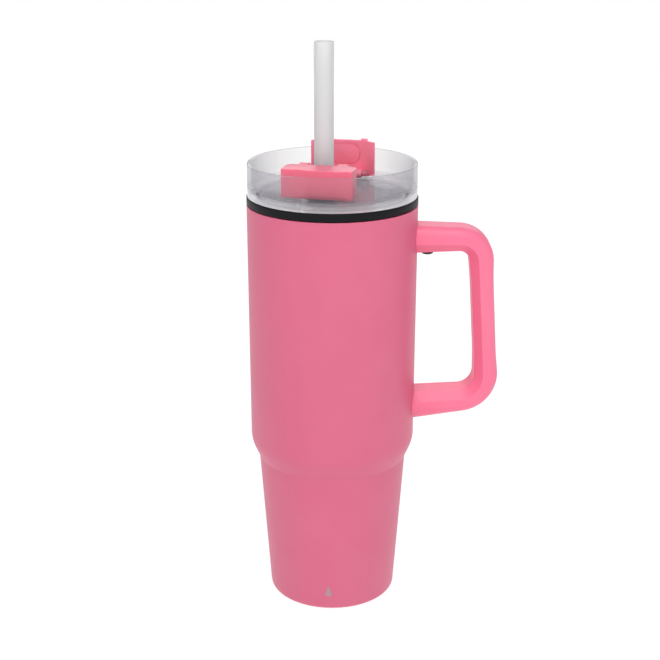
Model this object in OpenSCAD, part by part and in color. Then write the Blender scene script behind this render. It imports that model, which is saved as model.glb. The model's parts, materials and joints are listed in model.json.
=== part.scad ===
// Insulated tumbler, about 1.2 litres, with a side handle, a clear two-cap lid and a straw.
// Millimetres, +Z up. The origin is the centre of the resting face, the handle points to +X.

/* [Body] */
// height of the steel body, from the table to its rim
body_h = 248.9; // [200:0.1:320]
// outer radius where the straight upper wall begins
wall_r = 50.0; // [41:0.1:60]
// how much wider the rim is, in radius
rim_flare = 0.5; // [-8:0.1:10]
// how much narrower the crease under the shoulder is, in radius
crease_step = 4.8; // [-2:0.1:14]
// how much the body narrows from the crease to the table, in radius
base_step = 6.5; // [-2.8:0.1:15.2]
// radius of the rounded bottom edge
base_fillet = 4; // [2:0.5:6]
// height of the crease under the shoulder
crease_z = 91; // [60:1:130]
// height of the shoulder curve above the crease
shoulder_rise = 15; // [-16:0.5:54]
// radius of the shoulder curve
shoulder_r = 20; // [12:1:40]

/* [Insulation] */
// steel thickness of the outer shell
shell_t = 0.8; // [0.5:0.1:1.2]
// width of the vacuum gap at the side
vacuum_gap = 3.4; // [2:0.1:5]
// height of the vacuum gap at the bottom
vacuum_floor = 6.5; // [4:0.5:12]
// steel thickness of the inner liner
liner_t = 0.6; // [0.4:0.1:1]
// thickness of the reflective foil
foil_t = 0.2; // [0.1:0.05:0.4]
// distance of the opening under the base pan from the bottom edge
foot_w = 7.7; // [4.7:0.1:18.7]
// height the base pan is pressed up in the middle
pan_rise = 1.6; // [0.5:0.1:3]

/* [Handle] */
// width of the handle, across the body
handle_w = 23; // [14:0.5:32]
// thickness of the handle, seen from the side
handle_t = 14.4; // [10:0.2:20]
// edge rounding of the handle section
handle_edge = 6.4; // [2:0.2:7]
// depth of the upper arm centre line below the rim
arm_drop = 20.4; // [8.8:0.2:49]
// distance of the handle centre line from the body at the upper bend
upper_out = 37.7; // [25:0.1:55]
// distance of the handle centre line from the body at the lower bend
lower_out = 44.3; // [25:0.1:60]
// height at which the lower arm centre line meets the body
lower_arm_z = 124.2; // [100:0.2:160]
// rise of the lower arm centre line from the body to the bend
lower_rise = 4.5; // [-25.4:0.1:44.6]
// bend radius of the centre line at the upper corner
upper_bend_r = 13.6; // [9:0.1:22]
// bend radius of the centre line at the lower corner
lower_bend_r = 17; // [9:0.1:22]

/* [Handle fixing] */
// distance of the screws from the body
screw_out = 6.5; // [4:0.5:12]
// radius of the screw shanks
screw_r = 2; // [1.5:0.1:3]
// radius of the screw heads
head_r = 3.5; // [2.5:0.1:4.5]
// height of the screw heads
head_h = 2; // [1.5:0.1:3]
// how much longer the screw shanks are than half the handle thickness
shank_more = 1.2; // [-1.2:0.1:1.8]
// radius of the screw covers
cover_r = 4; // [3:0.1:5]
// height of the domed cover below the upper arm
cover_dome = 2.9; // [0.5:0.1:3.5]
// thickness of the bracket tabs
tab_t = 3; // [2:0.2:4]
// width of the bracket tabs
tab_w = 12; // [8:0.5:16]
// length of the bracket tabs beyond the shell
tab_l = 12; // [10:0.5:16]

/* [Lid] */
// how much narrower the clear wall is than the rim, in radius
lid_step = 0.5; // [-8.5:0.1:9.5]
// thickness of the clear wall
lid_t = 2.4; // [1.5:0.1:3.5]
// height of the clear wall above the band
lid_h = 19.5; // [12:0.5:30]
// height of the black band
band_h = 5.0; // [3:0.1:8]
// thickness of the lid floor
floor_t = 2.6; // [2:0.1:4]
// radius of the curve between the lid floor and the clear wall
bowl_r = 6; // [2:0.5:8]
// length of the skirt below the band
skirt_l = 10; // [7:0.5:16]
// thickness of the skirt
skirt_t = 2.2; // [1.6:0.1:3]
// height of the sealing ring
seal_h = 4; // [2:0.2:5]
// turn of the lid about the body axis, in degrees
lid_turn = -13; // [-180:1:180]

/* [Straw] */
// outer radius of the straw
straw_r = 5.7; // [4:0.1:7]
// wall thickness of the straw
straw_t = 1.0; // [0.6:0.1:1.6]
// height of the straw mouth above the lid
straw_out = 69.8; // [26.3:0.1:106.3]
// height of the lower end of the straw above the table
straw_foot = 13; // [11:0.5:30]
// straw position across the lid
straw_x = -2.9; // [-4:0.1:4]
// straw position behind the middle of the lid
straw_y = -9; // [-10:0.5:-4]
// width of the collar on the straw sleeve
sleeve_lip = 1.6; // [1:0.1:3]

/* [Front cap] */
// position of both caps across the lid
cap_x = -0.3; // [-4:0.1:4]
// width of the front cap
sip_w = 40.8; // [30:0.2:44]
// gap between the front cap and the clear wall
sip_room = 6.6; // [5:0.1:9.6]
// distance of the front hinge line from the clear wall
sip_hinge_in = 27.6; // [24:0.1:30]
// height of the front hinge above the lid floor
sip_hinge_h = 15.2; // [13:0.1:17]
// height of the front cap top above the lid floor
sip_top = 19.2; // [16:0.1:22]
// wall thickness of both caps
cap_t = 1.8; // [1.2:0.1:2.5]
// how far the front cap's nose stands forward
nose_step = 1.8; // [0:0.1:3]
// width of the sloping sides of the nose
nose_bevel = 7.1; // [3:0.1:9]
// width of the flat left of the nose
nose_left = 11.7; // [2:0.1:14]
// width of the flat right of the nose
nose_right = 1.9; // [1.9:0.1:8]
// how far the lower edge of the front cap may swing past its front
nose_swing = 1.4; // [0:0.1:1.6]
// radius of the front knuckles
sip_knuckle_r = 4.3; // [3:0.1:5]
// length of the sipping slot across the lid
sip_slot = 15; // [10:0.5:20]
// width of the sipping slot
sip_slot_w = 6.4; // [4:0.2:8]

/* [Back cap] */
// width of the back cap
drink_w = 39; // [28:0.5:44]
// width of its flat middle
drink_flat = 21; // [14:0.5:28]
// how far its side wings lean forward
wing_lean = 6; // [2:0.2:8]
// height of the raised back cap, from the hinge
drink_reach = 19; // [14:0.5:21]
// distance of the back hinge line from the clear wall
drink_hinge_in = 19.6; // [17:0.1:24]
// height of the back hinge above the lid floor
drink_hinge_h = 4.2; // [3.6:0.1:6]
// distance of the raised plate behind its hinge
drink_back = 6.5; // [5:0.1:9]
// length of the drinking spout across the lid
spout_l = 19; // [12:0.5:22]
// width of the drinking spout
spout_w = 12; // [8:0.5:14]

/* [Hinges and fits] */
// radius of the hinge pins
pin_r = 1.2; // [0.8:0.1:2]
// running clearance, radial
running_gap = 0.06; // [0.03:0.01:0.1]
// close clearance inside one assembly
close_gap = 0.03; // [0.01:0.01:0.1]
// side clearance between knuckles and posts
side_gap = 0.35; // [0.3:0.05:0.6]
// clearance between parts that rest on each other
rest_gap = 0.3; // [0.3:0.05:0.5]
// thickness of the hinge posts
post_t = 2.8; // [2:0.1:4]
// thickness of the soft pads
pad_t = 1.2; // [0.8:0.1:2]
// height the back cap's pad stands out of its pocket
pad_proud = 0.4; // [0.2:0.1:0.8]

/* [Hidden] */
$fn = 64;
eps = 0.01;
// body radii and heights
rim_r = wall_r + rim_flare;
crease_r = wall_r - crease_step;
base_r = crease_r - base_step;
shoulder_z = crease_z + shoulder_rise;
pan_r = base_r - foot_w;
function outer_at(z) = wall_r + (rim_r - wall_r) * (z - shoulder_z) / (body_h - shoulder_z);
taper = (crease_r - base_r) / crease_z;
taper_a = atan(taper);
// inset of the liner, outside and inside
liner_out = shell_t + vacuum_gap;
liner_in = liner_out + liner_t;
liner_base = shell_t + vacuum_floor;
// heights in the lid
band_z = body_h + rest_gap;
floor_z = band_z + band_h;
deck_z = floor_z + floor_t;
lid_top = floor_z + lid_h;
lid_r = rim_r - lid_step;
bowl_in = lid_r - lid_t;
straw_top = lid_top + straw_out;
skirt_z = band_z - skirt_l;
seal_z = skirt_z + 2;
seal_r = outer_at(seal_z) - liner_in - running_gap;
skirt_r = seal_r - 0.7;
// handle bends
edge_r = min(handle_edge, handle_t / 2 - 0.4);
upper_arm_z = body_h - arm_drop;
lower_bend_z = lower_arm_z + lower_rise;
upper_reach = wall_r + upper_out;
lower_reach = wall_r + lower_out;
// handle directions, in degrees from +X
grip_a = atan2(upper_arm_z - lower_bend_z, upper_reach - lower_reach);
low_a = atan2(lower_bend_z - lower_arm_z, lower_reach - wall_r);
up_bend = [upper_reach, upper_arm_z];
low_bend = [lower_reach, lower_bend_z];
function way(a) = [cos(a), sin(a)];
function bend_c(v, a, b, r) = v - (way(a) + way(b)) * r / (1 + way(a) * way(b));
up_c = bend_c(up_bend, 90, grip_a - 90, upper_bend_r);
low_c = bend_c(low_bend, low_a - 90, grip_a - 90, lower_bend_r);
grip_top = up_c + way(grip_a - 90) * upper_bend_r;
grip_foot = low_c + way(grip_a - 90) * lower_bend_r;
bend_lap = 0.5;
bend_step = 0.06;
// handle fixing heights
screw_x = wall_r + screw_out;
shank_l = handle_t / 2 + shank_more;
up_tab_z = upper_arm_z + 0.8;
low_tab_z = lower_arm_z + 1.2;
head_drop = shank_l - tab_t - 2.2;
// front cap
sip_front = sip_room - bowl_in;
sip_hinge_y = sip_hinge_in - bowl_in;
sip_hinge_z = deck_z + sip_hinge_h;
sip_sweep = sip_hinge_y - sip_front + nose_swing;
sip_slot_y = sip_hinge_y - 8.6;
sip_pad_z = deck_z + 1.5;
sip_under = sip_pad_z + pad_t;
knuckle_w = 5.5;
knuckle_x = 8.5;
// back cap
drink_hinge_y = bowl_in - drink_hinge_in;
drink_hinge_z = deck_z + drink_hinge_h;
drink_knuckle_r = 2.6;
drink_knuckle_w = 24;
spout_y = drink_hinge_y - 10.5;
spout_top = drink_hinge_z + drink_back - pad_proud - rest_gap;
plate_t = 2.4;

// half section of the solid body, set in by a wall thickness
module body_half(inset, bottom, fillet, top) {
    fz = bottom + fillet;
    fx = base_r + taper * fz - inset - fillet / cos(taper_a);
    cx = wall_r - shoulder_r;
    cr = crease_r - inset;
    cz = crease_z + inset * 0.2;
    d = norm([cr - cx, cz - shoulder_z]);
    t_a = atan2(cz - shoulder_z, cr - cx) + acos((shoulder_r - inset) / d);
    polygon([[0, bottom], [fx, bottom], [fx + fillet * cos(taper_a), fz - fillet * sin(taper_a)],
             [cr, cz], [cx + (shoulder_r - inset) * cos(t_a), shoulder_z + (shoulder_r - inset) * sin(t_a)],
             [wall_r - inset, shoulder_z], [outer_at(top) - inset, top], [0, top]]);
    translate([fx, fz]) circle(fillet);
    translate([cx, shoulder_z]) circle(shoulder_r - inset);
}

module body_solid(inset, bottom, fillet, top) {
    rotate_extrude() intersection() {
        body_half(inset, bottom, fillet, top);
        square([200, top]);
    }
}

module outer_shell() {
    color("#DF718F") difference() {
        body_solid(0, 0, base_fillet, body_h);
        body_solid(shell_t, shell_t, base_fillet - shell_t, body_h + 1);
        translate([0, 0, -1]) cylinder(r = pan_r, h = 4);
    }
}

module base_pan() {
    color("#C9CBCE") rotate_extrude() polygon([
        [2.2, shell_t + pan_rise], [pan_r - 5, shell_t + pan_rise], [pan_r - 3, shell_t + close_gap],
        [pan_r + 2.5, shell_t + close_gap], [pan_r + 2.5, 2 * shell_t + close_gap],
        [pan_r - 3 + 0.3, 2 * shell_t + close_gap], [pan_r - 5 + 0.3, 2 * shell_t + pan_rise],
        [2.2, 2 * shell_t + pan_rise]]);
}

module vacuum_seal() {
    color("#8E9094") translate([0, 0, shell_t + pan_rise - 0.6]) {
        cylinder(r = 2.2 - close_gap, h = shell_t + 1.1);
    }
}

module getter() {
    color("#7C7F83") translate([14, 0, liner_base - 2.6]) difference() {
        cylinder(r = 5, h = 2.6 - close_gap);
        translate([0, 0, -1]) cylinder(r = 1.6, h = 5);
    }
}

module reflective_foil() {
    color("#D6A06A") difference() {
        body_solid(liner_out - foil_t - close_gap, 20, 3, body_h - 14);
        body_solid(liner_out - close_gap, 10, 3, body_h);
    }
}

module inner_liner() {
    color("#C4C7CB") difference() {
        union() {
            body_solid(liner_out, liner_base, 6, body_h);
            translate([0, 0, body_h - 1]) cylinder(r = outer_at(body_h - 1) - shell_t - close_gap, h = 1);
        }
        body_solid(liner_in, liner_base + liner_t, 6 - liner_t, body_h + 1);
    }
}

// rounded section of the handle, thickness along x and width along y
module grip_section(less) {
    square([handle_t - 2 * less, handle_w - 2 * edge_r], center = true);
    square([handle_t - 2 * edge_r, handle_w - 2 * less], center = true);
    for (x = [-1, 1], y = [-1, 1])
        translate([x * (handle_t / 2 - edge_r), y * (handle_w / 2 - edge_r)]) circle(edge_r - less);
}

// straight bar in the plane y = 0, from p along the direction a
module bar(p, a, l) {
    translate([p[0], 0, p[1]]) rotate([0, 90 - a, 0]) linear_extrude(l) grip_section(bend_step);
}

module elbow(c, from, to, r) {
    translate([c[0], 0, c[1]]) rotate([90, 0, 0]) rotate([0, 0, from])
        rotate_extrude(angle = to - from) translate([r, 0]) grip_section(0);
}

// room for a tab, a screw and its cover, seen from the tab height down
module fixing_room(z, drop) {
    translate([wall_r - 4, -tab_w / 2 - 0.15, z - tab_t / 2 - 0.15])
        cube([tab_l + 4.3, tab_w + 0.3, tab_t + 0.3]);
    translate([screw_x, 0, z - tab_t / 2 - head_drop]) {
        cylinder(r = screw_r + 0.15, h = shank_l + 0.8);
        translate([0, 0, -drop]) cylinder(r = cover_r + close_gap, h = drop);
    }
}

module handle() {
    up_end = up_c + way(90) * upper_bend_r;
    low_end = low_c + way(low_a - 90) * lower_bend_r;
    color("#FC7FA3") difference() {
        union() {
            elbow(up_c, grip_a - 90, 90, upper_bend_r);
            elbow(low_c, low_a - 90, grip_a - 90, lower_bend_r);
            // the straight bars are let into the bends a little
            bar(grip_foot - way(grip_a) * bend_lap, grip_a, norm(grip_top - grip_foot) + 2 * bend_lap);
            bar(up_end + way(0) * bend_lap, 180, up_end[0] + bend_lap - wall_r + 6);
            bar(low_end + way(low_a) * bend_lap, 180 + low_a, low_end[0] + bend_lap - wall_r + 6);
        }
        body_solid(-close_gap, -1, base_fillet, body_h + 2);
        fixing_room(up_tab_z, 20);
        fixing_room(low_tab_z, 20);
    }
}

// steel tab welded to the shell, with a tapped hole for the screw
module bracket(z) {
    difference() {
        translate([wall_r - 2, -tab_w / 2, z - tab_t / 2]) cube([tab_l + 2, tab_w, tab_t]);
        body_solid(-close_gap, -1, base_fillet, body_h + 2);
        translate([screw_x, 0, z - 5]) cylinder(r = screw_r + close_gap, h = 10);
    }
}

module upper_bracket() { color("#B9BCC0") bracket(up_tab_z); }
module lower_bracket() { color("#B9BCC0") bracket(low_tab_z); }

module screw(z) {
    translate([screw_x, 0, z - tab_t / 2 - head_drop]) {
        cylinder(r = screw_r, h = shank_l);
        translate([0, 0, -head_h]) difference() {
            cylinder(r = head_r, h = head_h);
            translate([0, 0, -1]) cylinder(r = 1.5, h = 2.2, $fn = 6);
        }
    }
}

module upper_screw() { color("#9EA1A5") screw(up_tab_z); }
module lower_screw() { color("#9EA1A5") screw(low_tab_z); }

// underside of each arm at the screw
up_face = upper_arm_z - handle_t / 2;
low_face = lower_arm_z - handle_t / 2 + 0.4;

module upper_cover() {
    top = up_tab_z - tab_t / 2 - head_drop - head_h - 0.1;
    dome_r = (cover_r * cover_r + cover_dome * cover_dome) / (2 * cover_dome);
    color("#1F1F22") translate([screw_x, 0, 0]) {
        translate([0, 0, up_face]) cylinder(r = cover_r, h = top - up_face);
        intersection() {
            translate([0, 0, up_face - cover_dome + dome_r]) sphere(dome_r, $fn = 96);
            translate([0, 0, up_face - 3]) cylinder(r = cover_r, h = 3 + eps);
        }
    }
}

module lower_cover() {
    top = low_tab_z - tab_t / 2 - head_drop - head_h - 0.1;
    color("#1F1F22") translate([screw_x, 0, low_face + 0.4]) cylinder(r = cover_r, h = top - low_face - 0.4);
}

// a slot outline across the lid
module slot(l, w) {
    square([l - w, w], center = true);
    for (k = [-1, 1]) translate([k * (l - w) / 2, 0]) circle(w / 2);
}

// rounded post for a hinge pin, standing on the lid floor
module post(y, z, r, x0, x1) {
    translate([x0, y, z]) rotate([0, 90, 0]) cylinder(r = r, h = x1 - x0);
    translate([x0, y - r, deck_z - eps]) cube([x1 - x0, 2 * r, z - deck_z + eps]);
}

// hinge line across the lid, at both sides of the cap middle
module across(y, z, r, x0, x1) {
    translate([x0, y, z]) rotate([0, 90, 0]) cylinder(r = r, h = x1 - x0);
}

sip_post_x = knuckle_x + knuckle_w + side_gap;
drink_post_x = drink_knuckle_w / 2 + side_gap;

module lid_body() {
    color("#DDE2E6", 0.35) difference() {
        union() {
            rotate_extrude() {
                translate([0, floor_z]) square([lid_r - 1, floor_t]);
                translate([lid_r - lid_t, floor_z]) square([lid_t, lid_h - lid_t / 2]);
                translate([lid_r - lid_t / 2, lid_top - lid_t / 2]) circle(lid_t / 2);
                difference() {
                    translate([lid_r - lid_t - bowl_r, deck_z - 0.5]) square([bowl_r + 0.5, bowl_r + 0.5]);
                    translate([lid_r - lid_t - bowl_r, deck_z + bowl_r]) circle(bowl_r);
                }
                translate([skirt_r - skirt_t, skirt_z]) square([skirt_t, floor_z - skirt_z + eps]);
            }
            rotate([0, 0, lid_turn]) translate([cap_x, 0, 0]) {
                for (k = [0, 1]) mirror([k, 0, 0]) {
                    post(sip_hinge_y, sip_hinge_z, 3, sip_post_x, sip_post_x + post_t);
                    post(drink_hinge_y, drink_hinge_z, drink_knuckle_r, drink_post_x, drink_post_x + post_t);
                }
                translate([0, sip_slot_y, deck_z - eps]) linear_extrude(1.2 + eps)
                    slot(sip_slot + 3, sip_slot_w + 3);
                translate([0, spout_y, deck_z - eps]) linear_extrude(spout_top - deck_z + eps)
                    slot(spout_l, spout_w);
            }
        }
        rotate([0, 0, lid_turn]) {
            translate([straw_x, straw_y, floor_z - 1]) cylinder(r = straw_r + running_gap + 2.6, h = 9);
            translate([cap_x, 0, 0]) {
                translate([0, sip_slot_y, floor_z - 1]) linear_extrude(9) slot(sip_slot, sip_slot_w);
                translate([0, spout_y, floor_z - 1]) linear_extrude(30) slot(spout_l - 3.2, spout_w - 3.2);
                for (k = [0, 1]) mirror([k, 0, 0]) {
                    across(sip_hinge_y, sip_hinge_z, pin_r + close_gap,
                           sip_post_x - 1, sip_post_x + post_t + 1);
                    across(drink_hinge_y, drink_hinge_z, pin_r + close_gap,
                           drink_post_x - 1, drink_post_x + post_t + 1);
                }
            }
        }
        // groove for the sealing ring
        rotate_extrude() translate([skirt_r - 1, seal_z]) square([2, seal_h]);
    }
}

module lid_band() {
    color("#26262A") rotate_extrude() difference() {
        union() {
            translate([skirt_r + close_gap, band_z]) square([rim_r - skirt_r - close_gap - 1, band_h - close_gap]);
            translate([rim_r - 2, band_z + 1]) square([2, band_h - close_gap - 2]);
            for (z = [band_z + 1, band_z + band_h - close_gap - 1]) translate([rim_r - 1, z]) circle(1);
        }
    }
}

module lid_seal() {
    color("#E9E9EC") rotate_extrude() difference() {
        translate([skirt_r - 1 + close_gap, seal_z + close_gap])
            square([seal_r - skirt_r + 1 - close_gap, seal_h - 2 * close_gap]);
        for (z = [seal_z + seal_h / 3, seal_z + 2 * seal_h / 3]) translate([seal_r, z]) circle(0.4);
    }
}

module straw_sleeve() {
    neck_r = straw_r + running_gap + 2.6 - close_gap;
    color("#EDEDEF") rotate([0, 0, lid_turn]) translate([straw_x, straw_y, 0]) difference() {
        union() {
            translate([0, 0, floor_z - 1.5]) cylinder(r = neck_r, h = floor_t + 3);
            translate([0, 0, deck_z + close_gap]) cylinder(r = neck_r + sleeve_lip, h = 1.5 - close_gap);
            translate([0, 0, floor_z - 1.5]) cylinder(r = neck_r + sleeve_lip, h = 1.5 - close_gap);
        }
        translate([0, 0, floor_z - 3]) cylinder(r = straw_r + running_gap, h = floor_t + 6);
    }
}

module sip_pins() {
    color("#B9BCC0") rotate([0, 0, lid_turn]) translate([cap_x, 0, 0])
        for (k = [0, 1]) mirror([k, 0, 0])
            across(sip_hinge_y, sip_hinge_z, pin_r, knuckle_x + 0.3, sip_post_x + post_t);
}

module drink_pin() {
    color("#B9BCC0") rotate([0, 0, lid_turn]) translate([cap_x, 0, 0])
        across(drink_hinge_y, drink_hinge_z, pin_r, -drink_post_x - post_t, drink_post_x + post_t);
}

// plan of the front cap, set in by a wall thickness; the back corners are cut
module sip_plan(inset, back) {
    w = sip_w / 2 - inset;
    nose = sip_front + inset;
    flat = nose + nose_step;
    left = nose_left - sip_w / 2;
    right = sip_w / 2 - nose_right;
    polygon([[-w, flat], [left, flat], [left + nose_bevel, nose], [right - nose_bevel, nose],
             [right, flat], [w, flat], [w, back - 3], [w - 2.5, back], [-w + 2.5, back], [-w, back - 3]]);
}

module sip_cap() {
    back = sip_hinge_y - 3.8;
    color("#F06A8B") rotate([0, 0, lid_turn]) translate([cap_x, 0, 0]) difference() {
        union() {
            intersection() {
                translate([0, 0, sip_under]) linear_extrude(deck_z + sip_top - sip_under) sip_plan(0, back);
                across(sip_hinge_y, sip_hinge_z, sip_sweep, -40, 40);
            }
            for (k = [0, 1]) mirror([k, 0, 0]) {
                across(sip_hinge_y, sip_hinge_z, sip_knuckle_r, knuckle_x, knuckle_x + knuckle_w);
                translate([knuckle_x, back - 1, sip_hinge_z - 3]) cube([knuckle_w, 5, 7]);
            }
        }
        difference() {
            intersection() {
                translate([0, 0, sip_under - 1]) linear_extrude(deck_z + sip_top - cap_t - sip_under + 1)
                    sip_plan(cap_t, back + 2);
                across(sip_hinge_y, sip_hinge_z, sip_sweep - cap_t, -40, 40);
            }
            // hinge side stays closed above, and a rib carries the pad
            translate([-40, back - cap_t, sip_hinge_z - 4]) cube([80, 6, 20]);
            translate([0, sip_slot_y, sip_pad_z + pad_t]) linear_extrude(30) slot(sip_slot - 4, sip_slot_w - 3);
        }
        across(sip_hinge_y, sip_hinge_z, pin_r + running_gap, -40, 40);
        translate([-knuckle_x, back + 1, sip_under - 1]) cube([2 * knuckle_x, 12, 30]);
    }
}

module sip_pad() {
    color("#F07E99") rotate([0, 0, lid_turn]) translate([cap_x, sip_slot_y, sip_pad_z])
        linear_extrude(pad_t - close_gap) slot(sip_slot + 3, sip_slot_w + 2.6);
}

// end view of the raised back cap, looking down: flat middle and two leaning wings
module drink_plan(t, grow) {
    f = drink_flat / 2;
    w = drink_w / 2 + grow;
    l = wing_lean * w / (drink_w / 2);
    polygon([[-w, -l], [-f, 0], [f, 0], [w, -l], [w, -l + t], [f, t], [-f, t], [-w, -l + t]]);
}

module drink_cap() {
    y = drink_hinge_y;
    z = drink_hinge_z;
    color("#F06A8B") rotate([0, 0, lid_turn]) translate([cap_x, 0, 0]) difference() {
        union() {
            // raised plate with its wings
            translate([0, y + drink_back, z - 1.2]) linear_extrude(drink_reach + 1.2) drink_plan(plate_t, 0);
            // shelf from the hinge to the plate
            translate([-drink_w / 2 + 4, y + 4, z - 2.2]) cube([drink_w - 8, drink_back - 2, 2.2]);
            translate([-drink_knuckle_w / 2, y, z - 2.2]) cube([drink_knuckle_w, drink_back + 1, 2.2]);
            across(y, z, drink_knuckle_r, -drink_knuckle_w / 2, drink_knuckle_w / 2);
            // finger ridge at the top of the plate
            translate([10, y + drink_back + 1.2, z + drink_reach]) rotate([0, 90, 0]) cylinder(r = 1.1, h = 4);
        }
        across(y, z, pin_r + running_gap, -40, 40);
        // pocket for the pad
        translate([0, y + drink_back + pad_t - pad_proud, z + y - spout_y])
            rotate([90, 0, 0]) linear_extrude(9) slot(spout_l + 2 * close_gap, spout_w + 2 * close_gap);
    }
}

module drink_pad() {
    // covers the spout when the cap is down
    color("#F07E99") rotate([0, 0, lid_turn])
        translate([cap_x, drink_hinge_y + drink_back + pad_t - pad_proud - close_gap, drink_hinge_z + drink_hinge_y - spout_y])
            rotate([90, 0, 0]) linear_extrude(pad_t - close_gap) slot(spout_l, spout_w);
}

module straw() {
    color("#DADADC", 0.6) rotate([0, 0, lid_turn]) translate([straw_x, straw_y, 0])
        rotate_extrude() {
            translate([straw_r - straw_t, straw_foot + straw_t / 2])
                square([straw_t, straw_top - straw_foot - straw_t]);
            for (z = [straw_foot + straw_t / 2, straw_top - straw_t / 2])
                translate([straw_r - straw_t / 2, z]) circle(straw_t / 2);
        }
}

outer_shell();
base_pan();
vacuum_seal();
getter();
reflective_foil();
inner_liner();
handle();
upper_bracket();
lower_bracket();
upper_screw();
lower_screw();
upper_cover();
lower_cover();
lid_body();
lid_band();
lid_seal();
straw_sleeve();
sip_pins();
drink_pin();
sip_cap();
sip_pad();
drink_cap();
drink_pad();
straw();
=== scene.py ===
# Insulated tumbler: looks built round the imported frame. Metres, same axes as the frame.
import json
import math
import bpy
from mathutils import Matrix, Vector

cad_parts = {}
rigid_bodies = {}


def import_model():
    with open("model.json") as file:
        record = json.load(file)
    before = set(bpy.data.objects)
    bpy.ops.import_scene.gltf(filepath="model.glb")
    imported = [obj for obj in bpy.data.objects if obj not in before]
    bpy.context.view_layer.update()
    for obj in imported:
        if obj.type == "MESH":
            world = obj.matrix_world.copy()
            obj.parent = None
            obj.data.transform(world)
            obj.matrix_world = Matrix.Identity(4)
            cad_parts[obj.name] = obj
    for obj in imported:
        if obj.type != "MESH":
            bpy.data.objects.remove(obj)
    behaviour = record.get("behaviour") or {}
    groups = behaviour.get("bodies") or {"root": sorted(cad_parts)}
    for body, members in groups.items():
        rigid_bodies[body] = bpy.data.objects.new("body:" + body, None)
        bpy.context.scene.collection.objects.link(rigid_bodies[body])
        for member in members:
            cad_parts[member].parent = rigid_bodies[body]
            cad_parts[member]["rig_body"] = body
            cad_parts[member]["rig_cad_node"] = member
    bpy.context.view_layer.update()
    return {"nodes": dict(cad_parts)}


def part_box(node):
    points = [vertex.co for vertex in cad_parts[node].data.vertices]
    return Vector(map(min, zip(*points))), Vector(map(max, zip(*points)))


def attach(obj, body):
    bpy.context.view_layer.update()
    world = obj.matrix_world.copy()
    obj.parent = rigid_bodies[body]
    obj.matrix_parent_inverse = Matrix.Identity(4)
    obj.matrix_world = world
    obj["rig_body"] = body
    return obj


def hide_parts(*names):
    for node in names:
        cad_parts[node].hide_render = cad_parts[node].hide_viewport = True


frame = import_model()
nodes = frame["nodes"]
print("stage: frame loaded,", len(nodes), "nodes")


def hexColour(code):
    parts = [int(code[i:i + 2], 16) / 255 for i in (1, 3, 5)]
    linear = [c / 12.92 if c <= 0.04045 else ((c + 0.055) / 1.055) ** 2.4 for c in parts]
    return (*linear, 1.0)


def addNode(tree, kind, values=None, links=None, stops=(), **settings):
    node = tree.nodes.new(kind)
    for key, value in settings.items():
        setattr(node, key, value)
    for key, value in (values or {}).items():
        node.inputs[key].default_value = value
    for key, source in (links or {}).items():
        tree.links.new(source, node.inputs[key])
    for index, (position, code) in enumerate(stops):
        node.color_ramp.elements[index].position = position
        node.color_ramp.elements[index].color = hexColour(code)
    return node


def newMaterial(name, viewColour):
    material = bpy.data.materials.new(name)
    material.use_nodes = True
    material.diffuse_color = hexColour(viewColour)
    tree = material.node_tree
    tree.nodes.clear()
    return material, tree


# most of a noise texture's values lie between these; a noise's scale is 1 over the size of a bump in metres
noiseLow, noiseHigh = 0.3, 0.7


def powderCoat(name, toneA, toneB):
    # electrostatic powder coat on steel: satin, fine orange peel about 0.9 mm across
    material, tree = newMaterial(name, toneA)
    place = addNode(tree, "ShaderNodeTexCoord")
    peel = addNode(tree, "ShaderNodeTexNoise", {"Scale": 1 / 0.0009, "Detail": 3},
                   {"Vector": place.outputs["Object"]})
    cloud = addNode(tree, "ShaderNodeTexNoise", {"Scale": 1 / 0.03, "Detail": 2},
                    {"Vector": place.outputs["Object"]})
    tone = addNode(tree, "ShaderNodeValToRGB", links={"Fac": cloud.outputs["Fac"]},
                   stops=((noiseLow, toneA), (noiseHigh, toneB)))
    gloss = addNode(tree, "ShaderNodeMapRange",
                    {"From Min": noiseLow, "From Max": noiseHigh, "To Min": 0.40, "To Max": 0.50},
                    {"Value": peel.outputs["Fac"]})
    bump = addNode(tree, "ShaderNodeBump", {"Strength": 0.35, "Distance": 0.00006},
                   {"Height": peel.outputs["Fac"]})
    shader = addNode(tree, "ShaderNodeBsdfPrincipled", {"IOR": 1.5},
                     {"Base Color": tone.outputs["Color"], "Roughness": gloss.outputs["Result"],
                      "Normal": bump.outputs["Normal"]})
    addNode(tree, "ShaderNodeOutputMaterial", links={"Surface": shader.outputs["BSDF"]})
    return material


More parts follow.
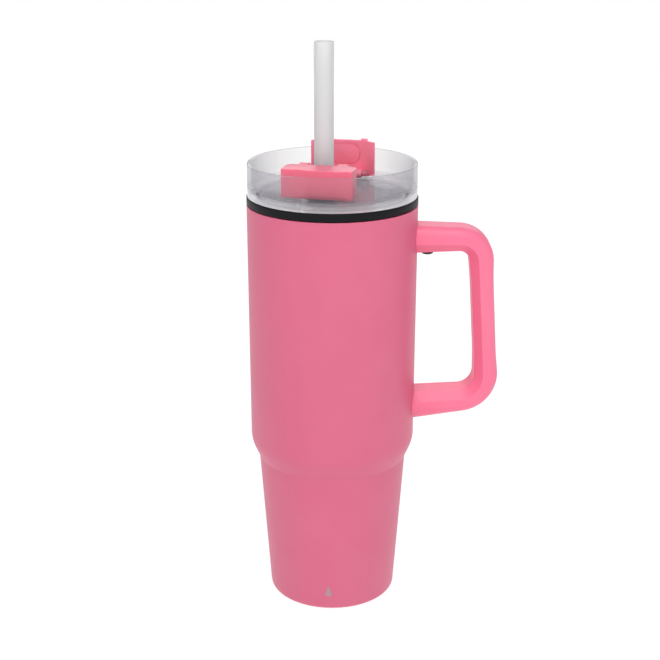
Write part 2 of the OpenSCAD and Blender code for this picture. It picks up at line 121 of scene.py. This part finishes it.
def mouldedPlastic(name, toneA, toneB, rough, grain=0.0006, depth=0.00004, softness=0.0, shine=0.5):
    # injection-moulded polypropylene: spark-eroded mould texture, slight shine, light enters a little
    material, tree = newMaterial(name, toneA)
    place = addNode(tree, "ShaderNodeTexCoord")
    texture = addNode(tree, "ShaderNodeTexNoise", {"Scale": 1 / grain, "Detail": 3},
                      {"Vector": place.outputs["Object"]})
    turn = addNode(tree, "ShaderNodeMapping", {"Scale": (1, 1, 0.4)}, {"Vector": place.outputs["Object"]})
    flow = addNode(tree, "ShaderNodeTexNoise", {"Scale": 1 / 0.02, "Detail": 2},
                   {"Vector": turn.outputs["Vector"]})
    tone = addNode(tree, "ShaderNodeValToRGB", links={"Fac": flow.outputs["Fac"]},
                   stops=((noiseLow, toneA), (noiseHigh, toneB)))
    gloss = addNode(tree, "ShaderNodeMapRange",
                    {"From Min": noiseLow, "From Max": noiseHigh, "To Min": rough - 0.05, "To Max": rough + 0.05},
                    {"Value": texture.outputs["Fac"]})
    bump = addNode(tree, "ShaderNodeBump", {"Strength": 0.3, "Distance": depth},
                   {"Height": texture.outputs["Fac"]})
    shader = addNode(tree, "ShaderNodeBsdfPrincipled",
                     {"IOR": 1.49, "Specular IOR Level": shine, "Subsurface Weight": softness,
                      "Subsurface Radius": (0.007, 0.0022, 0.003), "Subsurface Scale": 1.0},
                     {"Base Color": tone.outputs["Color"], "Roughness": gloss.outputs["Result"],
                      "Normal": bump.outputs["Normal"]})
    addNode(tree, "ShaderNodeOutputMaterial", links={"Surface": shader.outputs["BSDF"]})
    return material


# opacity seen square on and along the wall, and where and how much painted highlight makes the root of the wall
# paler and more opaque
clearLid = {
    "faceOn": 0.085, "edgeOn": 0.92, "edgeBlend": 0.24,
    "glintTop": 0.2605, "glintFull": 0.2575, "rootStart": 0.040, "rootFull": 0.047,
    "glintLeast": 0.05, "glintMost": 0.25,
    "wallTone": 0.62, "glintTone": 0.35, "pale": "#F4F3F8", "grey": "#7C7A86",
}


def clearPlastic(name):
    # clear copolyester lid: polished mould, denser where the wall is seen along its length
    material, tree = newMaterial(name, "#DDE2E6")
    place = addNode(tree, "ShaderNodeTexCoord")
    turn = addNode(tree, "ShaderNodeMapping", {"Scale": (1, 1, 0.5)}, {"Vector": place.outputs["Object"]})
    wave = addNode(tree, "ShaderNodeTexNoise", {"Scale": 1 / 0.018, "Detail": 1},
                   {"Vector": turn.outputs["Vector"]})
    scuff = addNode(tree, "ShaderNodeTexNoise", {"Scale": 1 / 0.0015, "Detail": 4},
                    {"Vector": place.outputs["Object"]})
    edge = addNode(tree, "ShaderNodeLayerWeight", {"Blend": clearLid["edgeBlend"]})
    dense = addNode(tree, "ShaderNodeMapRange", {"To Min": clearLid["faceOn"], "To Max": clearLid["edgeOn"]},
                    {"Value": edge.outputs["Facing"]})
    # painted highlight: the thick floor plate and the root of the wall are made paler and more opaque, standing
    # in for the bright refraction lines there
    height = addNode(tree, "ShaderNodeSeparateXYZ", links={"Vector": place.outputs["Object"]})
    low = addNode(tree, "ShaderNodeMapRange",
                  {"From Min": clearLid["glintTop"], "From Max": clearLid["glintFull"]},
                  {"Value": height.outputs["Z"]})
    flat = addNode(tree, "ShaderNodeMapping", {"Scale": (1, 1, 0)}, {"Vector": place.outputs["Object"]})
    radius = addNode(tree, "ShaderNodeVectorMath", operation="LENGTH", links={0: flat.outputs["Vector"]})
    root = addNode(tree, "ShaderNodeMapRange",
                   {"From Min": clearLid["rootStart"], "From Max": clearLid["rootFull"],
                    "To Min": clearLid["glintLeast"], "To Max": clearLid["glintMost"]},
                   {"Value": radius.outputs["Value"]})
    paintedGlint = addNode(tree, "ShaderNodeMath", operation="MULTIPLY",
                   links={0: low.outputs["Result"], 1: root.outputs["Result"]})
    total = addNode(tree, "ShaderNodeMath", operation="ADD", use_clamp=True,
                    links={0: dense.outputs["Result"], 1: paintedGlint.outputs["Value"]})
    # painted highlight: the root of the wall is coloured lighter than the clear wall
    shade = addNode(tree, "ShaderNodeMapRange",
                    {"From Max": clearLid["glintMost"],
                     "To Min": clearLid["wallTone"], "To Max": clearLid["glintTone"]},
                    {"Value": paintedGlint.outputs["Value"]})
    tone = addNode(tree, "ShaderNodeValToRGB", links={"Fac": shade.outputs["Result"]},
                   stops=((noiseLow, clearLid["pale"]), (noiseHigh, clearLid["grey"])))
    gloss = addNode(tree, "ShaderNodeMapRange",
                    {"From Min": noiseLow, "From Max": noiseHigh, "To Min": 0.02, "To Max": 0.06},
                    {"Value": scuff.outputs["Fac"]})
    bump = addNode(tree, "ShaderNodeBump", {"Strength": 0.15, "Distance": 0.0004},
                   {"Height": wave.outputs["Fac"]})
    shader = addNode(tree, "ShaderNodeBsdfPrincipled", {"IOR": 1.49, "Transmission Weight": 0.2},
                     {"Base Color": tone.outputs["Color"], "Alpha": total.outputs["Value"],
                      "Roughness": gloss.outputs["Result"], "Normal": bump.outputs["Normal"]})
    addNode(tree, "ShaderNodeOutputMaterial", links={"Surface": shader.outputs["BSDF"]})
    return material


def frostedPlastic(name):
    # frosted polypropylene tube: light comes through, shapes behind it don't
    material, tree = newMaterial(name, "#DADADC")
    place = addNode(tree, "ShaderNodeTexCoord")
    turn = addNode(tree, "ShaderNodeMapping", {"Scale": (1, 1, 0.25)}, {"Vector": place.outputs["Object"]})
    frost = addNode(tree, "ShaderNodeTexNoise", {"Scale": 1 / 0.0007, "Detail": 3},
                    {"Vector": turn.outputs["Vector"]})
    gloss = addNode(tree, "ShaderNodeMapRange",
                    {"From Min": noiseLow, "From Max": noiseHigh, "To Min": 0.42, "To Max": 0.55},
                    {"Value": frost.outputs["Fac"]})
    bump = addNode(tree, "ShaderNodeBump", {"Strength": 0.2, "Distance": 0.00003},
                   {"Height": frost.outputs["Fac"]})
    shader = addNode(tree, "ShaderNodeBsdfPrincipled",
                     {"Base Color": hexColour("#EDEDEE"), "IOR": 1.49, "Transmission Weight": 0.35,
                      "Subsurface Weight": 0.25, "Subsurface Radius": (0.004, 0.004, 0.004),
                      "Subsurface Scale": 1.0},
                     {"Roughness": gloss.outputs["Result"], "Normal": bump.outputs["Normal"]})
    addNode(tree, "ShaderNodeOutputMaterial", links={"Surface": shader.outputs["BSDF"]})
    return material


def siliconeRubber(name, toneA, toneB):
    # food silicone: dull, milky, faint moulding haze
    material, tree = newMaterial(name, toneA)
    place = addNode(tree, "ShaderNodeTexCoord")
    haze = addNode(tree, "ShaderNodeTexNoise", {"Scale": 1 / 0.002, "Detail": 2},
                   {"Vector": place.outputs["Object"]})
    tone = addNode(tree, "ShaderNodeValToRGB", links={"Fac": haze.outputs["Fac"]},
                   stops=((noiseLow, toneA), (noiseHigh, toneB)))
    gloss = addNode(tree, "ShaderNodeMapRange",
                    {"From Min": noiseLow, "From Max": noiseHigh, "To Min": 0.48, "To Max": 0.6},
                    {"Value": haze.outputs["Fac"]})
    shader = addNode(tree, "ShaderNodeBsdfPrincipled",
                     {"IOR": 1.42, "Subsurface Weight": 0.3, "Subsurface Radius": (0.002, 0.001, 0.001),
                      "Subsurface Scale": 1.0},
                     {"Base Color": tone.outputs["Color"], "Roughness": gloss.outputs["Result"]})
    addNode(tree, "ShaderNodeOutputMaterial", links={"Surface": shader.outputs["BSDF"]})
    return material


def brushedSteel(name, toneA, toneB, rough, stretch):
    # 18/8 stainless steel, spun and brushed: fine lines about 0.6 mm apart
    material, tree = newMaterial(name, toneA)
    place = addNode(tree, "ShaderNodeTexCoord")
    turn = addNode(tree, "ShaderNodeMapping", {"Scale": stretch}, {"Vector": place.outputs["Object"]})
    lines = addNode(tree, "ShaderNodeTexNoise", {"Scale": 1 / 0.0006, "Detail": 4},
                    {"Vector": turn.outputs["Vector"]})
    tone = addNode(tree, "ShaderNodeValToRGB", links={"Fac": lines.outputs["Fac"]},
                   stops=((noiseLow, toneA), (noiseHigh, toneB)))
    gloss = addNode(tree, "ShaderNodeMapRange",
                    {"From Min": noiseLow, "From Max": noiseHigh, "To Min": rough - 0.07, "To Max": rough + 0.07},
                    {"Value": lines.outputs["Fac"]})
    bump = addNode(tree, "ShaderNodeBump", {"Strength": 0.25, "Distance": 0.00003},
                   {"Height": lines.outputs["Fac"]})
    shader = addNode(tree, "ShaderNodeBsdfPrincipled", {"Metallic": 1.0},
                     {"Base Color": tone.outputs["Color"], "Roughness": gloss.outputs["Result"],
                      "Normal": bump.outputs["Normal"]})
    addNode(tree, "ShaderNodeOutputMaterial", links={"Surface": shader.outputs["BSDF"]})
    return material


def studioPaper(name):
    # matt white paper sweep
    material, tree = newMaterial(name, "#FAFAFA")
    shader = addNode(tree, "ShaderNodeBsdfPrincipled",
                     {"Base Color": hexColour("#8A8A8A"), "Roughness": 0.9, "Specular IOR Level": 0.1,
                      "Emission Color": (1, 1, 1, 1), "Emission Strength": 0.88})
    addNode(tree, "ShaderNodeOutputMaterial", links={"Surface": shader.outputs["BSDF"]})
    return material


materials = {
    "body": powderCoat("pinkPowderCoat", "#D2607F", "#D46483"),
    "handle": mouldedPlastic("pinkHandlePlastic", "#F07293", "#F27797", 0.44, softness=0.1),
    "cap": mouldedPlastic("pinkCapPlastic", "#E8657F", "#EC6B85", 0.36, 0.0012, softness=0.45),
    # painted light: the back flip cap gets a lighter copy of the cap plastic to brighten its face, which sits in
    # shade inside the lid
    "paintedLightCap": mouldedPlastic("pinkCapPlasticPaintedLight", "#FC7E98", "#FF849C", 0.36, 0.0012, softness=0.45),
    "band": mouldedPlastic("blackBandPlastic", "#111113", "#151518", 0.45, shine=0.14),
    "cover": mouldedPlastic("blackScrewCover", "#1B1B1D", "#222225", 0.5),
    "clear": clearPlastic("clearLidPlastic"),
    "straw": frostedPlastic("frostedStrawPlastic"),
    "sleeve": siliconeRubber("milkySilicone", "#E4E4E8", "#EEEEF0"),
    "pad": siliconeRubber("pinkSilicone", "#FA7E97", "#FC839B"),
    "liner": brushedSteel("brushedLinerSteel", "#B9BBBE", "#CDCFD2", 0.3, (1, 1, 12)),
    "steel": brushedSteel("plainSteel", "#A9ABAF", "#B9BBBF", 0.35, (1, 1, 1)),
    "foil": brushedSteel("copperFoil", "#C98F62", "#DBA377", 0.25, (1, 1, 3)),
    "print": mouldedPlastic("etchedMarkSteel", "#B08E98", "#A8868F", 0.45),
    "floor": studioPaper("whitePaper"),
}
print("stage: materials")


studio = {
    "cameraPlace": (-0.0014, -0.7766, 0.4288),
    "cameraPitch": 71.57,       # degrees up from straight down
    "lens": 73.57,
    "sensor": 36,
    "world": 0.42,
    "floorSize": 40,
    "floorDrop": 0.0003,
    # name, place, height it points at, size and power
    "softboxes": (
        ("softboxFront", (0, -2.2, 1.1), 0.16, (1.6, 1.2), 8.5),
        ("softboxLeft", (-0.9, -0.8, 0.6), 0.16, (0.4, 0.9), 1.0),
        ("softboxRight", (0.95, -0.75, 0.55), 0.16, (0.4, 0.9), 1.2),
        ("softboxTop", (0, -0.6, 1.3), 0.25, (0.8, 0.6), 8.0),
        ("softboxBack", (0, 2.2, 1.25), 0.25, (2.6, 1.0), 14.0),
    ),
}


def areaLight(name, place, aimHeight, size, power):
    bpy.ops.object.light_add(type="AREA", location=place)
    lamp = bpy.context.object
    lamp.name = name
    lamp.data.shape = "RECTANGLE"
    lamp.data.size, lamp.data.size_y = size
    lamp.data.energy = power
    lamp.rotation_euler = (Vector((0, 0, aimHeight)) - Vector(place)).to_track_quat("-Z", "Y").to_euler()


def makeStudio():
    bpy.ops.object.camera_add(location=studio["cameraPlace"],
                              rotation=(math.radians(studio["cameraPitch"]), 0, 0))
    camera = bpy.context.object
    camera.data.sensor_width = studio["sensor"]
    camera.data.lens = studio["lens"]
    bpy.context.scene.camera = camera
    bpy.context.scene.view_settings.view_transform = "Standard"
    world = bpy.data.worlds.new("paleStudio")
    bpy.context.scene.world = world
    world.use_nodes = True
    back = world.node_tree.nodes["Background"]
    back.inputs["Color"].default_value = (1, 1, 1, 1)
    back.inputs["Strength"].default_value = studio["world"]
    for softbox in studio["softboxes"]:
        areaLight(*softbox)
    bpy.ops.mesh.primitive_plane_add(size=studio["floorSize"], location=(0, 0, -studio["floorDrop"]))
    floor = bpy.context.object
    floor.name = "studioFloor"
    floor.data.materials.append(materials["floor"])
    print("stage: camera, lights and floor")


makeStudio()


# points nearer than this, in metres, are merged
weld = 0.000002
# a corner whose half angle is over this, in radians, needs no arc
nearlyStraight = 1.56
# steps round the large spun pieces
largeTurn = 160


def editAll():
    bpy.ops.object.mode_set(mode="EDIT")
    bpy.ops.mesh.select_mode(type="VERT")
    bpy.ops.mesh.select_all(action="SELECT")


def dress(piece, name, material, body, replaced=(), angle=35):
    bpy.ops.object.select_all(action="DESELECT")
    piece.select_set(True)
    bpy.context.view_layer.objects.active = piece
    piece.name = name
    bpy.ops.object.transform_apply(location=True, rotation=True, scale=True)
    piece.data.materials.clear()
    piece.data.materials.append(materials[material])
    bpy.ops.object.shade_smooth_by_angle(angle=math.radians(angle))
    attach(piece, body)
    if replaced:
        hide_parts(*replaced)
    return piece


def applyBevel(piece, width, segments=3, angle=30):
    modifier = piece.modifiers.new("edges", "BEVEL")
    modifier.width, modifier.segments = width, segments
    modifier.limit_method, modifier.angle_limit = "ANGLE", math.radians(angle)
    modifier.use_clamp_overlap = True
    bpy.context.view_layer.objects.active = piece
    bpy.ops.object.modifier_apply(modifier=modifier.name)


# corners of a profile turned into arcs: points are (radius, height, corner radius) in mm
def roundedProfile(points, steps=8):
    out = []
    for i, (r, z, c) in enumerate(points):
        here = Vector((r, z))
        before = Vector(points[i - 1][:2])
        after = Vector(points[(i + 1) % len(points)][:2])
        a, b = (before - here).normalized(), (after - here).normalized()
        half = math.acos(max(-1, min(1, a.dot(b)))) / 2
        if c <= 0 or half > nearlyStraight:
            out.append(here)
            continue
        middle = here + (a + b).normalized() * (c / math.sin(half))
        first, last = here + a * (c / math.tan(half)), here + b * (c / math.tan(half))
        start, end = first - middle, last - middle
        turn = start.angle_signed(end)
        for k in range(steps + 1):
            t = -turn * k / steps
            out.append(middle + Vector((start.x * math.cos(t) - start.y * math.sin(t),
                                        start.x * math.sin(t) + start.y * math.cos(t))))
    return [(p.x / 1000, p.y / 1000) for p in out]


# a closed profile walked by vertex extrusion and spun about the axis at (x, y)
def spinProfile(profile, steps=128, x=0.0, y=0.0):
    bpy.ops.object.select_all(action="DESELECT")
    bpy.ops.mesh.primitive_plane_add(size=0.001, location=(0, 0, 0))
    piece = bpy.context.object
    editAll()
    bpy.ops.mesh.merge(type="CENTER")
    bpy.ops.transform.translate(value=(x + profile[0][0], y, profile[0][1]))
    for (r0, z0), (r1, z1) in zip(profile, profile[1:] + profile[:1]):
        bpy.ops.mesh.extrude_region_move(TRANSFORM_OT_translate={"value": (r1 - r0, 0, z1 - z0)})
    bpy.ops.mesh.select_all(action="SELECT")
    bpy.ops.mesh.remove_doubles(threshold=weld)
    bpy.ops.mesh.select_all(action="SELECT")
    bpy.ops.mesh.spin(steps=steps, angle=2 * math.pi, center=(x, y, 0), axis=(0, 0, 1))
    bpy.ops.mesh.select_all(action="SELECT")
    bpy.ops.mesh.remove_doubles(threshold=weld)
    bpy.ops.mesh.normals_make_consistent(inside=False)
    bpy.ops.object.mode_set(mode="OBJECT")
    return piece


# a copy of a frame node with its triangles joined and its edges softened
def softenedCopy(node, bevel=0.0, segments=2, angle=30):
    bpy.ops.object.select_all(action="DESELECT")
    nodes[node].select_set(True)
    bpy.context.view_layer.objects.active = nodes[node]
    bpy.ops.object.duplicate()
    piece = bpy.context.object
    bpy.ops.object.parent_clear(type="CLEAR_KEEP_TRANSFORM")
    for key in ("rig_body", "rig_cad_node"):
        if key in piece:
            del piece[key]
    editAll()
    bpy.ops.mesh.customdata_custom_splitnormals_clear()
    bpy.ops.mesh.remove_doubles(threshold=weld)
    if bevel:
        bpy.ops.mesh.dissolve_limited(angle_limit=math.radians(0.6))
    bpy.ops.object.mode_set(mode="OBJECT")
    if bevel:
        applyBevel(piece, bevel, segments, angle)
    return piece


shell = {
    "baseRadius": 38.7, "baseFillet": 4.0, "panRadius": 31.0, "wall": 0.8,
    "creaseRadius": 45.2, "creaseHeight": 91.0, "creaseSoft": 2.5,
    "shoulderCorner": (50.0, 101.7), "shoulderArc": 20.0,
    "rimRadius": 50.5, "rimSoft": 0.35,
    "innerShoulderRise": 0.2, "innerCreaseRise": 0.3, "innerBaseStep": 4.0, "innerBaseHeight": 5.0,
    "arcSteps": 10,
}


def makeShell():
    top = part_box("outer_shell")[1].z * 1000
    w = shell["wall"]
    outside = [(shell["panRadius"], 0, 0), (shell["baseRadius"], 0, shell["baseFillet"]),
               (shell["creaseRadius"], shell["creaseHeight"], shell["creaseSoft"]),
               (*shell["shoulderCorner"], shell["shoulderArc"]),
               (shell["rimRadius"], top, shell["rimSoft"])]
    shoulderR, shoulderZ = shell["shoulderCorner"]
    inside = [(shell["rimRadius"] - w, top, 0),
              (shoulderR - w, shoulderZ + shell["innerShoulderRise"], 0),
              (shell["creaseRadius"] - w, shell["creaseHeight"] + shell["innerCreaseRise"], 0),
              (shell["baseRadius"] - w, shell["innerBaseHeight"], 0),
              (shell["baseRadius"] - shell["innerBaseStep"], w, 0), (shell["panRadius"], w, 0)]
    piece = spinProfile(roundedProfile(outside + inside, shell["arcSteps"]), largeTurn)
    return dress(piece, "coatedShell", "body", "cup", ("outer_shell",),
                 angle=30)


# a plain droplet etched near the base; it starts in front of the shell and is pressed on to it
mark = {"x": -2.3, "z": 11.8, "front": -60.0, "drop": 2.0, "tip": 3.0, "slim": 0.45, "proud": 0.05,
        "points": 64, "cuts": 3}


def makeMark(shell):
    bpy.ops.object.select_all(action="DESELECT")
    bpy.ops.mesh.primitive_circle_add(vertices=mark["points"], radius=mark["drop"] / 1000, fill_type="TRIFAN",
                                      rotation=(math.pi / 2, 0, 0),
                                      location=(mark["x"] / 1000, mark["front"] / 1000, mark["z"] / 1000))
    piece = bpy.context.object
    bpy.ops.object.transform_apply(location=True, rotation=True, scale=True)
    for vertex in piece.data.vertices:
        rise = max(0, vertex.co.z * 1000 - mark["z"]) / mark["drop"]
        vertex.co.z += rise * rise * mark["tip"] / 1000
        vertex.co.x = mark["x"] / 1000 + (vertex.co.x - mark["x"] / 1000) * (1 - mark["slim"] * rise)
    # inner vertices let it follow the round shell
    editAll()
    bpy.ops.mesh.subdivide(number_cuts=mark["cuts"])
    bpy.ops.object.mode_set(mode="OBJECT")
    wrap = piece.modifiers.new("onShell", "SHRINKWRAP")
    wrap.target, wrap.wrap_method = shell, "PROJECT"
    wrap.use_project_y, wrap.use_positive_direction, wrap.use_negative_direction = True, True, True
    wrap.offset = mark["proud"] / 1000
    thick = piece.modifiers.new("ink", "SOLIDIFY")
    thick.thickness = mark["proud"] / 1000
    bpy.ops.object.modifier_apply(modifier=wrap.name)
    bpy.ops.object.modifier_apply(modifier=thick.name)
    editAll()
    bpy.ops.mesh.normals_make_consistent(inside=False)
    bpy.ops.object.mode_set(mode="OBJECT")
    dress(piece, "etchedMark", "print", "cup")


makeMark(makeShell())
for node, name in (("inner_liner", "steelLiner"), ("base_pan", "steelBasePan")):
    dress(softenedCopy(node), name, "liner", "cup", (node,))
print("stage: steel body")


handle = {
    "thick": 14.4, "wide": 23.0, "outerEdge": 6.2, "innerEdge": 5.0, "upperBend": 13.6, "lowerBend": 17.0,
    "upperZ": 228.5, "upperReach": 87.7, "lowerReach": 94.3, "lowerZ": 128.7, "lowerMeetZ": 124.2,
    "startX": 46.0, "bodyX": 50.0,
    "upperSpread": 1.14, "lowerSpread": 1.2, "gripSlim": 0.92, "slimFade": 12.0,
    "armsApart": 180.0, "slack": 0.1, "nudge": 0.01,
    "outerSteps": 9, "armCuts": 6, "gripCuts": 14, "bendSteps": 14,
}


def makeHandle():
    h = handle
    gripAngle = math.atan2(h["upperZ"] - h["lowerZ"], h["upperReach"] - h["lowerReach"])
    lowAngle = math.atan2(h["lowerZ"] - h["lowerMeetZ"], h["lowerReach"] - h["bodyX"])
    quarter = math.pi / 2

    def way(angle):
        return Vector((math.cos(angle), math.sin(angle)))

    def bendCentre(corner, a, b, radius):
        na, nb = way(a), way(b)
        return Vector(corner) - (na + nb) * radius / (1 + na.dot(nb))

    up = bendCentre((h["upperReach"], h["upperZ"]), quarter, gripAngle - quarter, h["upperBend"])
    low = bendCentre((h["lowerReach"], h["lowerZ"]), lowAngle - quarter, gripAngle - quarter, h["lowerBend"])
    bpy.ops.object.select_all(action="DESELECT")
    bpy.ops.mesh.primitive_plane_add(size=1, location=(0, 0, 0))
    piece = bpy.context.object
    piece.scale = (h["thick"] / 1000, h["wide"] / 1000, 1)
    piece.rotation_euler = (0, quarter, 0)
    piece.location = (h["startX"] / 1000, 0, h["upperZ"] / 1000)
    bpy.ops.object.transform_apply(location=True, rotation=True, scale=True)
    # round outer edges, plain chamfers towards the fingers
    editAll()
    reach = h["thick"] / 2 - h["slack"]
    for side, offset, segments in ((1, h["outerEdge"], h["outerSteps"]), (-1, h["innerEdge"], 1)):
        bpy.ops.mesh.select_all(action="DESELECT")
        bpy.ops.object.mode_set(mode="OBJECT")
        for vertex in piece.data.vertices:
            vertex.select = side * (vertex.co.z * 1000 - h["upperZ"]) > reach
        bpy.ops.object.mode_set(mode="EDIT")
        bpy.ops.mesh.bevel(offset=offset / 1000, segments=segments, affect="VERTICES")
    bpy.ops.mesh.select_mode(type="FACE")
    bpy.ops.mesh.select_all(action="SELECT")

    def run(vector, cuts):
        for _ in range(cuts):
            bpy.ops.mesh.extrude_region_move(TRANSFORM_OT_translate={
                "value": (vector.x / cuts / 1000, 0, vector.y / cuts / 1000)})

    def bend(centre, angle):
        bpy.ops.mesh.spin(steps=h["bendSteps"], angle=angle, axis=(0, -1, 0),
                          center=(centre.x / 1000, 0, centre.y / 1000))

    run(Vector((up.x - h["startX"], 0)), h["armCuts"])
    bend(up, math.pi - gripAngle)
    outward = way(gripAngle - quarter)
    run((low + outward * h["lowerBend"]) - (up + outward * h["upperBend"]), h["gripCuts"])
    bend(low, gripAngle - lowAngle)
    start = low + way(lowAngle - quarter) * h["lowerBend"]
    run(-way(lowAngle) * ((start.x - h["startX"]) / math.cos(lowAngle)), h["armCuts"])
    bpy.ops.mesh.select_all(action="SELECT")
    bpy.ops.mesh.remove_doubles(threshold=weld)
    bpy.ops.mesh.normals_make_consistent(inside=False)
    bpy.ops.object.mode_set(mode="OBJECT")
    # both arms grow a little deeper towards the body
    for vertex in piece.data.vertices:
        x, z = vertex.co.x * 1000, vertex.co.z * 1000
        for end, centre, spreadBy in ((up.x, h["upperZ"], h["upperSpread"]),
                                      (start.x, None, h["lowerSpread"])):
            upper = centre is not None
            if x < end - h["nudge"] and (z > h["armsApart"]) == upper:
                share = min(1, (end - x) / (end - h["bodyX"]))
                middle = centre if upper else h["lowerMeetZ"] + (x - h["bodyX"]) * math.tan(lowAngle)
                vertex.co.z = (middle + (z - middle) * (1 + (spreadBy - 1) * share)) / 1000
    # the grip is a little slimmer between its bends
    top, foot = Vector((h["upperReach"], h["upperZ"])), Vector((h["lowerReach"], h["lowerZ"]))
    along = (foot - top).normalized()
    across = Vector((-along.y, along.x))
    first, last = (up - top).dot(along), (low - top).dot(along)
    for vertex in piece.data.vertices:
        place = Vector((vertex.co.x * 1000, vertex.co.z * 1000)) - top
        if first < place.dot(along) < last:
            near = min(place.dot(along) - first, last - place.dot(along))
            share = min(1, near / h["slimFade"])
            move = across * (place.dot(across) * (h["gripSlim"] - 1) * share)
            vertex.co.x += move.x / 1000
            vertex.co.z += move.y / 1000
    dress(piece, "handleGrip", "handle", "cup", ("handle",), angle=40)


makeHandle()

# rubber button pressed in under the upper arm
upperCover = {"radius": 3.7, "proud": 2.6, "soft": 1.5, "sunk": 1.8, "sides": 48, "softSteps": 5}
# how far the edges of the copied pieces are rounded, in metres
edges = {"screwCover": 0.0003, "sleeve": 0.0004, "pad": 0.0004, "cap": 0.0006}


def makeUpperCover():
    low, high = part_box("upper_cover")
    bottom = high.z - (upperCover["sunk"] + upperCover["proud"]) / 1000
    bpy.ops.object.select_all(action="DESELECT")
    middle = ((low.x + high.x) / 2, 0, (high.z + bottom) / 2)
    bpy.ops.mesh.primitive_cylinder_add(vertices=upperCover["sides"], radius=upperCover["radius"] / 1000,
                                        depth=high.z - bottom, location=middle)
    piece = bpy.context.object
    applyBevel(piece, upperCover["soft"] / 1000, upperCover["softSteps"])
    dress(piece, "upperScrewCover", "cover", "cup", ("upper_cover",))


makeUpperCover()
dress(softenedCopy("lower_cover", edges["screwCover"]), "lowerScrewCover", "cover", "cup",
      ("lower_cover",))
print("stage: handle")


band = {"soft": 0.9, "inner": 45.4, "arcSteps": 6}


def makeBand():
    low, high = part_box("lid_band")
    r, z0, z1 = high.x * 1000, low.z * 1000, high.z * 1000
    profile = roundedProfile([(band["inner"], z0, 0), (r, z0, band["soft"]), (r, z1, band["soft"]),
                              (band["inner"], z1, 0)], band["arcSteps"])
    dress(spinProfile(profile, largeTurn), "blackLidRing", "band", "lid", ("lid_band",),
          angle=30)


makeBand()
dress(softenedCopy("lid_body"), "clearLidBody", "clear", "lid", ("lid_body",), angle=30)
dress(softenedCopy("lid_seal"), "lidSealRing", "sleeve", "lid", ("lid_seal",))
dress(softenedCopy("straw_sleeve", edges["sleeve"]), "strawSleeve", "sleeve", "lid",
      ("straw_sleeve",))
dress(softenedCopy("sip_cap", edges["cap"], segments=3), "frontFlipCap", "cap", "sip_cap",
      ("sip_cap",))
dress(softenedCopy("sip_pad", edges["pad"]), "frontCapPad", "pad", "sip_cap", ("sip_pad",))
# the back cap wears the lighter copy of the cap plastic, painted light for its shaded face
dress(softenedCopy("drink_cap", edges["cap"], segments=3), "backFlipCap", "paintedLightCap", "drink_cap",
      ("drink_cap",))
dress(softenedCopy("drink_pad", edges["pad"]), "backCapPad", "pad", "drink_cap",
      ("drink_pad",))
print("stage: lid")


straw = {"wall": 1.0, "soft": 0.45, "arcSteps": 4, "turn": 64}


def makeStraw():
    low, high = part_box("straw")
    centre = (low + high) / 2
    r, w = (high.x - low.x) * 500, straw["wall"]
    z0, z1 = low.z * 1000, high.z * 1000
    soft = straw["soft"]
    profile = roundedProfile([(r - w, z0, soft), (r, z0, soft), (r, z1, soft), (r - w, z1, soft)],
                             straw["arcSteps"])
    dress(spinProfile(profile, straw["turn"], centre.x, centre.y), "frostedStraw", "straw", "straw",
          ("straw",), angle=40)


makeStraw()
print("stage: straw")

# the rest of the frame keeps its shape and takes its own finish
for node, material in (("vacuum_seal", "steel"), ("getter", "steel"), ("reflective_foil", "foil"),
                       ("upper_bracket", "steel"), ("lower_bracket", "steel"), ("upper_screw", "steel"),
                       ("lower_screw", "steel"), ("sip_pins", "cap"), ("drink_pin", "cap")):
    nodes[node].data.materials.clear()
    nodes[node].data.materials.append(materials[material])
